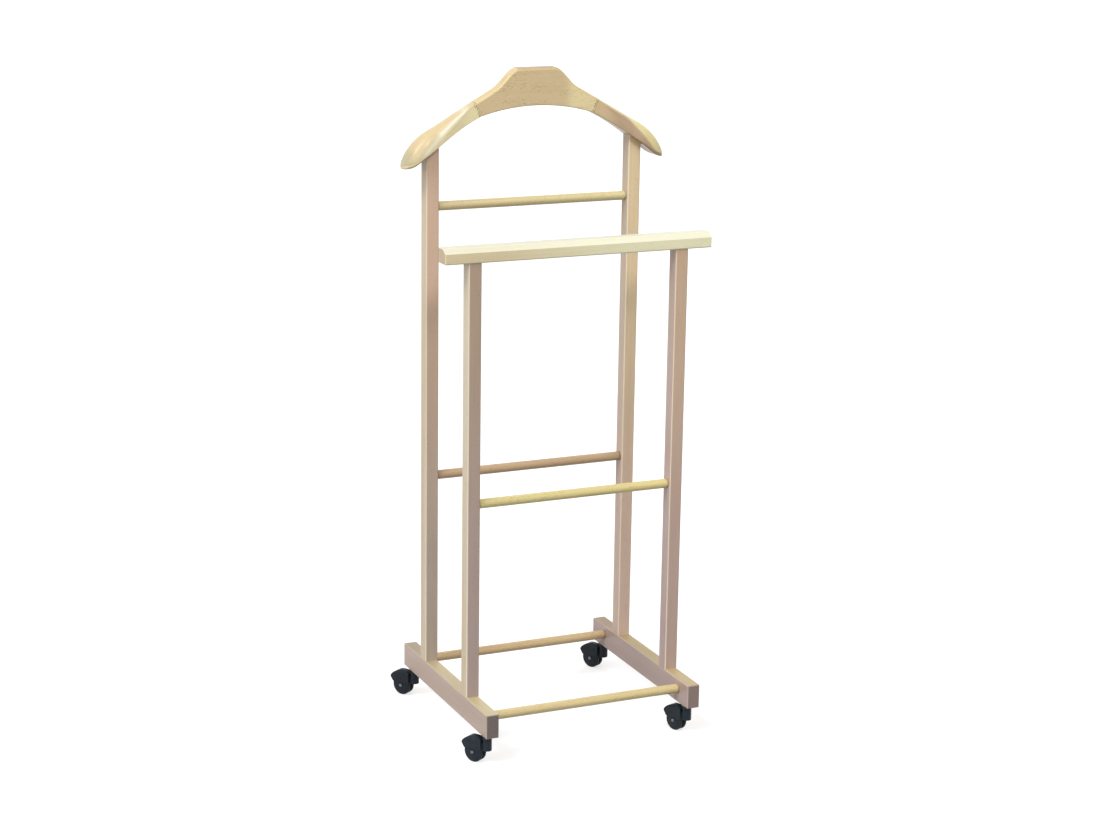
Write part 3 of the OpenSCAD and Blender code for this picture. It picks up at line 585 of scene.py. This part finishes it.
# Section: eased edges that grow into the milled shoulder. It meets the flat front at an angle, which gives the
# crease. CREASE_X is where that starts, is full, fades and ends
EDGE_R = 4.5
DOME_X = (106.0, 170.5)
DOME_FALL_X = (118.0, 168.0)
DOME_FALL = 1.25
DOME_LEAST = 0.5
DOME_FULL = 0.7
CREASE_ANGLE = math.radians(34.0)
CREASE_X = (114.0, 130.0, 164.0, 192.0)

# Finger joint: where it meets the underside and the top, its teeth, the glue's gap and the groove beside it
SEAM_LOW = 97.0
SEAM_HIGH = 108.0
FINGER_HALF = 2.2
FINGER_STEPS = 10
GLUE_GAP = 0.05
GROOVE = 0.35

ARCH_AXIS_Z = ARCH_Z - ARCH_R
SEAM_Z = ARCH_AXIS_Z + math.sqrt(ARCH_R ** 2 - SEAM_LOW ** 2)
ARM_ARCH_ANGLE = math.atan(ARM_ARCH_SLOPE)
ARM_AXIS_X = SEAM_LOW - ARM_ARCH_R * math.sin(ARM_ARCH_ANGLE)
ARM_AXIS_Z = SEAM_Z - ARM_ARCH_R * math.cos(ARM_ARCH_ANGLE)


def arch_at(x):
    if x < SEAM_LOW:
        return ARCH_AXIS_Z + math.sqrt(ARCH_R ** 2 - x ** 2)
    return ARM_AXIS_Z + math.sqrt(ARM_ARCH_R ** 2 - (x - ARM_AXIS_X) ** 2)


def arm_line(x):
    return ARCH_Z + CROWN_H - CROWN_FOOT_DROP - ARM_SLOPE * (x - CROWN_FOOT)


SLOPE_ANGLE = math.atan(ARM_SLOPE)
TIP_R = (HANGER_HALF - TIP_START) / (1 - math.sin(SLOPE_ANGLE))
TIP_CX = TIP_START - TIP_R * math.sin(SLOPE_ANGLE)
TIP_CZ = arm_line(TIP_START) - TIP_R * math.cos(SLOPE_ANGLE)
CURL_RISE = (CURL_START - ARM_AXIS_X) / math.sqrt(ARM_ARCH_R ** 2 - (CURL_START - ARM_AXIS_X) ** 2)
TIP_Z = arch_at(CURL_START) - CURL_RISE * (CURL_END - CURL_START) / 2
TIP_X = TIP_CX + math.sqrt(TIP_R ** 2 - (TIP_Z + TIP_EDGE - TIP_CZ) ** 2)


def step_up(x, a, b):
    """A smooth rise from 0 at a to 1 at b."""
    t = min(1.0, max(0.0, (x - a) / (b - a)))
    return t * t * (3 - 2 * t)


def hill(x, start, full, fade, stop):
    """A smooth rise and fall, which is 1 from full to fade."""
    return step_up(x, start, full) * (1 - step_up(x, fade, stop))


def top_at(x):
    if x <= PLATEAU_HALF:
        return ARCH_Z + CROWN_H
    if x <= CROWN_FOOT:
        w = CROWN_FOOT - PLATEAU_HALF
        t = (x - PLATEAU_HALF) / w
        return ((ARCH_Z + CROWN_H) * (2 * t ** 3 - 3 * t ** 2 + 1) + arm_line(CROWN_FOOT) * (3 * t ** 2 - 2 * t ** 3)
                - ARM_SLOPE * w * (t ** 3 - t ** 2))
    if x <= TIP_START:
        return arm_line(x)
    return TIP_CZ + math.sqrt(max(0.0, TIP_R ** 2 - (x - TIP_CX) ** 2))


def under_at(x):
    if x <= CURL_START:
        return arch_at(x)
    run = CURL_END - CURL_START
    t = min(1.0, (x - CURL_START) / run)
    return arch_at(CURL_START) - CURL_RISE * run * (t - t * t / 2)


def half_depth(x):
    flare = HANGER_T / 2 + (SHOULDER_D - HANGER_T) / 2 * step_up(x, *FLARE_X)
    t = max(0.0, (x - ROUND_START) / (TIP_X - ROUND_START))
    return flare * math.sqrt(max(TIP_THIN, 1 - t ** TIP_BLUNT))


# Points on each part of half a section: underside, its edge, the flat front and the dome
UNDER_N, EDGE_N, FLAT_N, DOME_N = 4, 6, 26, 22
DOME_FROM = UNDER_N + EDGE_N + FLAT_N
RING_N = 2 * (DOME_FROM + DOME_N)


def section_half(x):
    """Half a section at x, from the middle of the underside up to the crown, as (depth, height) pairs."""
    h, lo, hi = half_depth(x), under_at(x), top_at(x)
    r = UNDER_R_MIDDLE + (UNDER_R_TIP - UNDER_R_MIDDLE) * step_up(x, *UNDER_R_X)
    fall = max(0.0, min(1.0, (x - DOME_FALL_X[0]) / (DOME_FALL_X[1] - DOME_FALL_X[0]))) ** DOME_FALL
    dome_h = EDGE_R + (hi - lo - r - EDGE_R) * fall
    dome_w = EDGE_R + (h - EDGE_R) * step_up(x, *DOME_X)
    r = min(r, (hi - lo) / 3, h / 2)
    dome_h = max(DOME_LEAST, min(dome_h, hi - lo - r))
    dome_w = min(dome_w, h)
    crease = CREASE_ANGLE * hill(x, *CREASE_X)
    points = [((h - r) * i / UNDER_N, lo) for i in range(UNDER_N)]
    for i in range(EDGE_N):
        a = math.radians(90.0 * i / EDGE_N)
        points.append((h - r + r * math.sin(a), lo + r - r * math.cos(a)))
    for i in range(FLAT_N):
        points.append((h, lo + r + (hi - dome_h - lo - r) * i / FLAT_N))
    for i in range(DOME_N + 1):
        a = crease + (math.pi / 2 - crease) * i / DOME_N
        rise = (math.sin(a) - math.sin(crease)) / (1 - math.sin(crease))
        reach = (max(0.0, math.cos(a)) / math.cos(crease)) ** DOME_FULL
        points.append((h - dome_w + dome_w * reach, hi - dome_h + dome_h * rise))
    return points


def ring_point(x, k):
    """Point k of the closed section at x: up the front, then down the back."""
    half = section_half(abs(x))
    last = len(half) - 1
    if k <= last:
        d, z = half[k]
        return Vector((x, HANGER_Y - d, z))
    d, z = half[2 * last - k]
    return Vector((x, HANGER_Y + d, z))


def on_side(ring, side):
    """A ring of the right side, on the side asked for."""
    for p in ring:
        p.x *= side
    return ring


def plain_ring(x, side):
    """The section in the plane at x."""
    return on_side([ring_point(x, k) for k in range(RING_N)], side)


def seam_x(z):
    """Zigzag of the finger joint at height z, on the right side."""
    z0, z1 = arch_at(SEAM_LOW), arm_line(SEAM_HIGH)
    t = min(1.0, max(0.0, (z - z0) / (z1 - z0)))
    tooth = abs(((t * FINGER_STEPS) % 2) - 1)
    return SEAM_LOW + (SEAM_HIGH - SEAM_LOW) * t + FINGER_HALF * (1 - 2 * tooth)


SEAM_GUESS = SEAM_LOW + 4
SEAM_TRIES = 6


def seam_ring(side, back, inset=0.0):
    """The section along the finger joint, moved back from it towards the piece's inside and drawn in."""
    ring = []
    for k in range(RING_N):
        x = SEAM_GUESS
        for _ in range(SEAM_TRIES):
            x = seam_x(ring_point(x, k).z) + back
        ring.append(ring_point(x, k))
    middle = sum(ring, Vector()) / RING_N
    for i, p in enumerate(ring):
        away = Vector((0, middle.y - p.y, middle.z - p.z))
        ring[i] = p + away.normalized() * inset
    return on_side(ring, side)


def between(ring, side, x, t):
    """A ring part of the way from a seam ring to the plane section at x."""
    return on_side([ring_point(abs(p.x) + (x - abs(p.x)) * t, k) for k, p in enumerate(ring)], side)


# The crest of each arm has its own tone; on the right arm it is painted light, a lit band above the painted shade of
# its front. It starts at a share of the height, which falls towards the tip
CREST_AT_SEAM = 0.86
CREST_AT_TIP = {"left": 0.66, "right": 0.16}
CREST_FALL_X = 150.0
CREST_TIP_X = {"left": 224.0, "right": 216.0}
CREST_SOFT = 0.10

# The painted highlight down an arm's shoulder: where along X it starts, is full, fades and ends, its height as a
# share of the section at SHEEN_FROM_X and how fast that falls, and its half width
SHEEN_X = (112.0, 126.0, 188.0, 204.0)
SHEEN_FROM_X = 133.0
SHEEN_SHARE = 0.80
SHEEN_FALL = 0.0094
SHEEN_HALF = 0.27

GLUE_BESIDE = 0.6
TIP_BULGE = 0.4
SHARP_FROM = 16


def paint(mesh, verts, ring_count, seam_ends):
    """Writes what the materials ask for: glue in the seams, and the dome, crest and painted highlight of an arm."""
    glue = mesh.attributes.new("seam", "FLOAT", "POINT")
    for i in seam_ends:
        beside = i + 1 if i == 0 else i - 1
        for k in range(RING_N):
            glue.data[i * RING_N + k].value = 1.0
            glue.data[beside * RING_N + k].value = GLUE_BESIDE
    dome = mesh.attributes.new("dome", "FLOAT", "FACE")
    for i in range((ring_count - 1) * RING_N):
        dome.data[i].value = 1.0 if DOME_FROM <= i % RING_N < RING_N - DOME_FROM else 0.0
    for name in ("crest", "painted_sheen"):
        mesh.attributes.new(name, "FLOAT", "POINT")
    crest, painted_sheen = mesh.attributes["crest"], mesh.attributes["painted_sheen"]
    for i in range(ring_count * RING_N):
        x, z = abs(verts[i][0]) / MM, verts[i][2] / MM
        share = (z - under_at(x)) / (top_at(x) - under_at(x))
        hand = "left" if verts[i][0] < 0 else "right"
        fall = step_up(x, CREST_FALL_X, CREST_TIP_X[hand])
        limit = CREST_AT_SEAM + (CREST_AT_TIP[hand] - CREST_AT_SEAM) * fall
        crest.data[i].value = step_up(share, limit - CREST_SOFT, limit + CREST_SOFT)
        away = abs(share - SHEEN_SHARE + SHEEN_FALL * (x - SHEEN_FROM_X))
        painted_sheen.data[i].value = hill(x, *SHEEN_X) * (1 - step_up(away, 0, SHEEN_HALF))


def piece(name, rings, seam_ends, tip, material, node):
    """One piece of the hanger, skinned over its rings. seam_ends are the indices of its glued ends, and tip that of
    its free end."""
    verts = [tuple(c * MM for c in p) for ring in rings for p in ring]
    faces = []
    last = len(rings) - 1
    for i in range(last):
        for k in range(RING_N):
            k2 = (k + 1) % RING_N
            faces.append((i * RING_N + k, (i + 1) * RING_N + k, (i + 1) * RING_N + k2, i * RING_N + k2))
    for i, outward in ((0, False), (last, True)):
        middle = sum(rings[i], Vector()) / RING_N
        if tip == i:
            middle.x += math.copysign(TIP_BULGE, middle.x)
        verts.append(tuple(c * MM for c in middle))
        c = len(verts) - 1
        for k in range(RING_N):
            a, b = i * RING_N + k, i * RING_N + (k + 1) % RING_N
            faces.append((a, b, c) if outward else (b, a, c))
    mesh = bpy.data.meshes.new(name)
    mesh.from_pydata(verts, [], faces)
    if rings[-1][0].x < rings[0][0].x:
        mesh.flip_normals()
    paint(mesh, verts, len(rings), seam_ends)
    mesh.shade_smooth()
    mesh.set_sharp_from_angle(angle=math.radians(SHARP_FROM))
    mesh.materials.append(material)
    obj = bpy.data.objects.new(name, mesh)
    bpy.context.scene.collection.objects.link(obj)
    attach(obj, "stand")
    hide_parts(node)


# Where the sections have turned from the zigzag to plane ones, in the middle piece and in the arms, by steps of MORPH
CENTRE_FLAT = 84.0
ARM_FLAT = 122.0
MORPH = (0.02, 0.12, 0.3, 0.5, 0.7, 0.85, 1.0)

# Plane sections: across the middle piece, every ARM_STEP along an arm, and around its tip
CENTRE_N = 84
ARM_STEP = 2.0
ARM_N = 30
TIP_N = 30

seam = seam_ring(1, -GLUE_GAP / 2, GROOVE)
full = seam_ring(1, -GLUE_GAP / 2 - GROOVE)
to_flat = [between(full, 1, CENTRE_FLAT, t) for t in MORPH]
rings = [[Vector((-p.x, p.y, p.z)) for p in ring] for ring in [seam, full] + to_flat]
for i in range(1, CENTRE_N):
    x = -CENTRE_FLAT + 2 * CENTRE_FLAT * i / CENTRE_N
    rings.append(plain_ring(abs(x), -1 if x < 0 else 1))
rings += list(reversed(to_flat)) + [full, seam]

# Tones of the middle piece's faces, of the painted highlight on its crown's flanks and edges, and of its right end
CENTRE_FACES = ((221, 195, 141), (233, 211, 167), (188, 164, 134))
CENTRE_RIDGE_HIGHLIGHT = (241, 222, 166)
CENTRE_RIGHT = ((241, 230, 186), (255, 238, 186))
CENTRE_TONE_X = (0.044, 0.066)
# How much darker the hanger's downward faces are painted, as painted shade
HANGER_UNDER_SHADE = 0.7
centre_wood = wood("hanger_centre_wood", "X", CENTRE_FACES, streak=0.22, fleck=0.75, shift=(0.05, 0.2, 0.33),
                   seam=True, edge_highlight=0.0, end=0.0, fleck_len=5.0, fleck_cut=0.61, ridge_highlight=CENTRE_RIDGE_HIGHLIGHT,
                   under_shade=HANGER_UNDER_SHADE, fade=("X", *CENTRE_TONE_X, CENTRE_RIGHT))
piece("hanger_centre_shaped", rings, (0, len(rings) - 1), None, centre_wood, "hanger_centre")

# Side, tones of the faces, tones of the shoulder and fade of each arm. The left one has the painted highlight. The
# right one fades to painted shade on its front and shoulder face, below a crest of painted light
RIGHT_ARM_SHADE_TONE = (192, 165, 135)
ARM_TONE_X = (0.112, 0.150)
ARM_GLOSS = 0.40
ARMS = {
    "left": (-1, ((240, 222, 184), (255, 245, 194), (219, 198, 158)),
             ((230, 214, 170), (225, 203, 156), (202, 190, 150), (255, 250, 228)), None),
    "right": (1, ((219, 196, 153), (225, 200, 157), (227, 208, 149)),
              (RIGHT_ARM_SHADE_TONE, (237, 224, 165), (233, 224, 172)), ("X", *ARM_TONE_X, (RIGHT_ARM_SHADE_TONE,) * 2)),
}
for hand, (side, arm_faces, dome, fade) in ARMS.items():
    seam = seam_ring(side, GLUE_GAP / 2, GROOVE)
    full = seam_ring(side, GLUE_GAP / 2 + GROOVE)
    rings = [seam, full] + [between(full, side, ARM_FLAT, t) for t in MORPH]
    for i in range(1, ARM_N + 1):
        rings.append(plain_ring(ARM_FLAT + ARM_STEP * i, side))
    for i in range(1, TIP_N + 1):
        rings.append(plain_ring(TIP_START + (TIP_X - TIP_START) * math.sin(math.pi / 2 * i / TIP_N), side))
    arm_wood = wood("hanger_arm_wood_" + hand, "X", arm_faces, streak=0.30, fleck=0.35, turn=side * SLOPE_ANGLE,
                    shift=(0.4 + 0.2 * side, 0.1, 0.6), seam=True, edge_highlight=0.0, end=0.0, dome=dome, fade=fade,
                    gloss=ARM_GLOSS, under_shade=HANGER_UNDER_SHADE)
    piece("hanger_arm_shaped_" + hand, rings, (0,), len(rings) - 1, arm_wood, "hanger_arm_" + hand)


# ---- Floor, light and camera ----

# The floor is white to the camera: some of it lit, so that it keeps the shadow, and the rest its own glow. What
# the other rays meet is a mid grey, which throws little light back on the object
FLOOR_SIZE = 60
FLOOR_LIT = 0.55
FLOOR_GLOW = 0.62
FLOOR_GREY = 0.14
WORLD_COLOR = (1.0, 0.99, 0.97, 1)
WORLD_LIGHT = 0.46


def seen_white(tree):
    """1 for the rays that show the white background: those from the camera, a reflection or through glass."""
    path = tree.nodes.new("ShaderNodeLightPath")
    value = path.outputs["Is Camera Ray"]
    for ray in ("Is Glossy Ray", "Is Transmission Ray"):
        either = tree.nodes.new("ShaderNodeMath")
        either.operation = "MAXIMUM"
        tree.links.new(value, either.inputs[0])
        tree.links.new(path.outputs[ray], either.inputs[1])
        value = either.outputs[0]
    return value


def by_ray(tree, output, other, seen):
    """Ends a node tree in one shader for the rays that show the background and another for the rest."""
    mix = tree.nodes.new("ShaderNodeMixShader")
    tree.links.new(seen_white(tree), mix.inputs[0])
    tree.links.new(other.outputs[0], mix.inputs[1])
    tree.links.new(seen.outputs[0], mix.inputs[2])
    tree.links.new(mix.outputs[0], tree.nodes.new(output).inputs["Surface"])


def floor_material():
    mat = bpy.data.materials.new("studio_floor")
    mat.use_nodes = True
    tree = mat.node_tree
    tree.nodes.clear()
    lit = tree.nodes.new("ShaderNodeBsdfDiffuse")
    lit.inputs["Color"].default_value = (FLOOR_LIT,) * 3 + (1,)
    glow = tree.nodes.new("ShaderNodeEmission")
    glow.inputs["Strength"].default_value = FLOOR_GLOW
    seen = tree.nodes.new("ShaderNodeAddShader")
    tree.links.new(lit.outputs[0], seen.inputs[0])
    tree.links.new(glow.outputs[0], seen.inputs[1])
    grey = tree.nodes.new("ShaderNodeBsdfDiffuse")
    grey.inputs["Color"].default_value = (FLOOR_GREY,) * 3 + (1,)
    by_ray(tree, "ShaderNodeOutputMaterial", grey, seen)
    return mat


def backdrop(tree, color, strength):
    node = tree.nodes.new("ShaderNodeBackground")
    node.inputs["Color"].default_value = color
    node.inputs["Strength"].default_value = strength
    return node


bpy.ops.mesh.primitive_plane_add(size=FLOOR_SIZE)
floor = bpy.context.object
floor.name = "studio_floor"
floor.data.materials.append(floor_material())

scene = bpy.context.scene
world = bpy.data.worlds.new("studio")
scene.world = world
world.use_nodes = True
world.node_tree.nodes.clear()
by_ray(world.node_tree, "ShaderNodeOutputWorld", backdrop(world.node_tree, WORLD_COLOR, WORLD_LIGHT),
       backdrop(world.node_tree, (1, 1, 1, 1), 1.0))


def sun(name, direction, strength, angle, color=(1, 1, 1), glint=True):
    """A soft lamp that shines from a direction. Without glint it doesn't show in reflections."""
    data = bpy.data.lights.new(name, "SUN")
    data.energy = strength
    data.angle = math.radians(angle)
    data.color = color
    obj = bpy.data.objects.new(name, data)
    obj.rotation_euler = Vector(direction).to_track_quat("Z", "Y").to_euler()
    obj.visible_glossy = glint
    scene.collection.objects.link(obj)


sun("key", (-0.62, -0.28, 0.85), 1.45, 24)
sun("left_fill", (-0.95, -0.25, 0.12), 0.72, 40, glint=False)
sun("front_fill", (0.02, -0.80, 0.60), 0.86, 14, (1.0, 0.96, 0.94))
sun("back_fill", (0.72, 0.68, 0.22), 1.00, 50, glint=False)

# The camera, fitted to the photograph's straight edges
CAMERA_AT = (-1.57204, -3.49879, 1.50281)
YAW, PITCH, ROLL = (math.radians(a) for a in (24.134, -14.377, 0.848))
LENS = 80.25
SENSOR_WIDTH = 36.0
FAR_CLIP = 200

look = Vector((math.sin(YAW) * math.cos(PITCH), math.cos(YAW) * math.cos(PITCH), math.sin(PITCH)))
level = Vector((math.cos(YAW), -math.sin(YAW), 0))
above = level.cross(look)
camera_x = math.cos(ROLL) * level + math.sin(ROLL) * above
camera_y = -math.sin(ROLL) * level + math.cos(ROLL) * above
camera = bpy.data.objects.new("camera", bpy.data.cameras.new("camera"))
scene.collection.objects.link(camera)
camera.data.sensor_fit = "HORIZONTAL"
camera.data.sensor_width = SENSOR_WIDTH
camera.data.lens = LENS
camera.data.clip_end = FAR_CLIP
turned = Matrix((camera_x, camera_y, -look)).transposed().to_4x4()
camera.matrix_world = Matrix.Translation(CAMERA_AT) @ turned
scene.camera = camera
scene.view_settings.view_transform = "Standard"
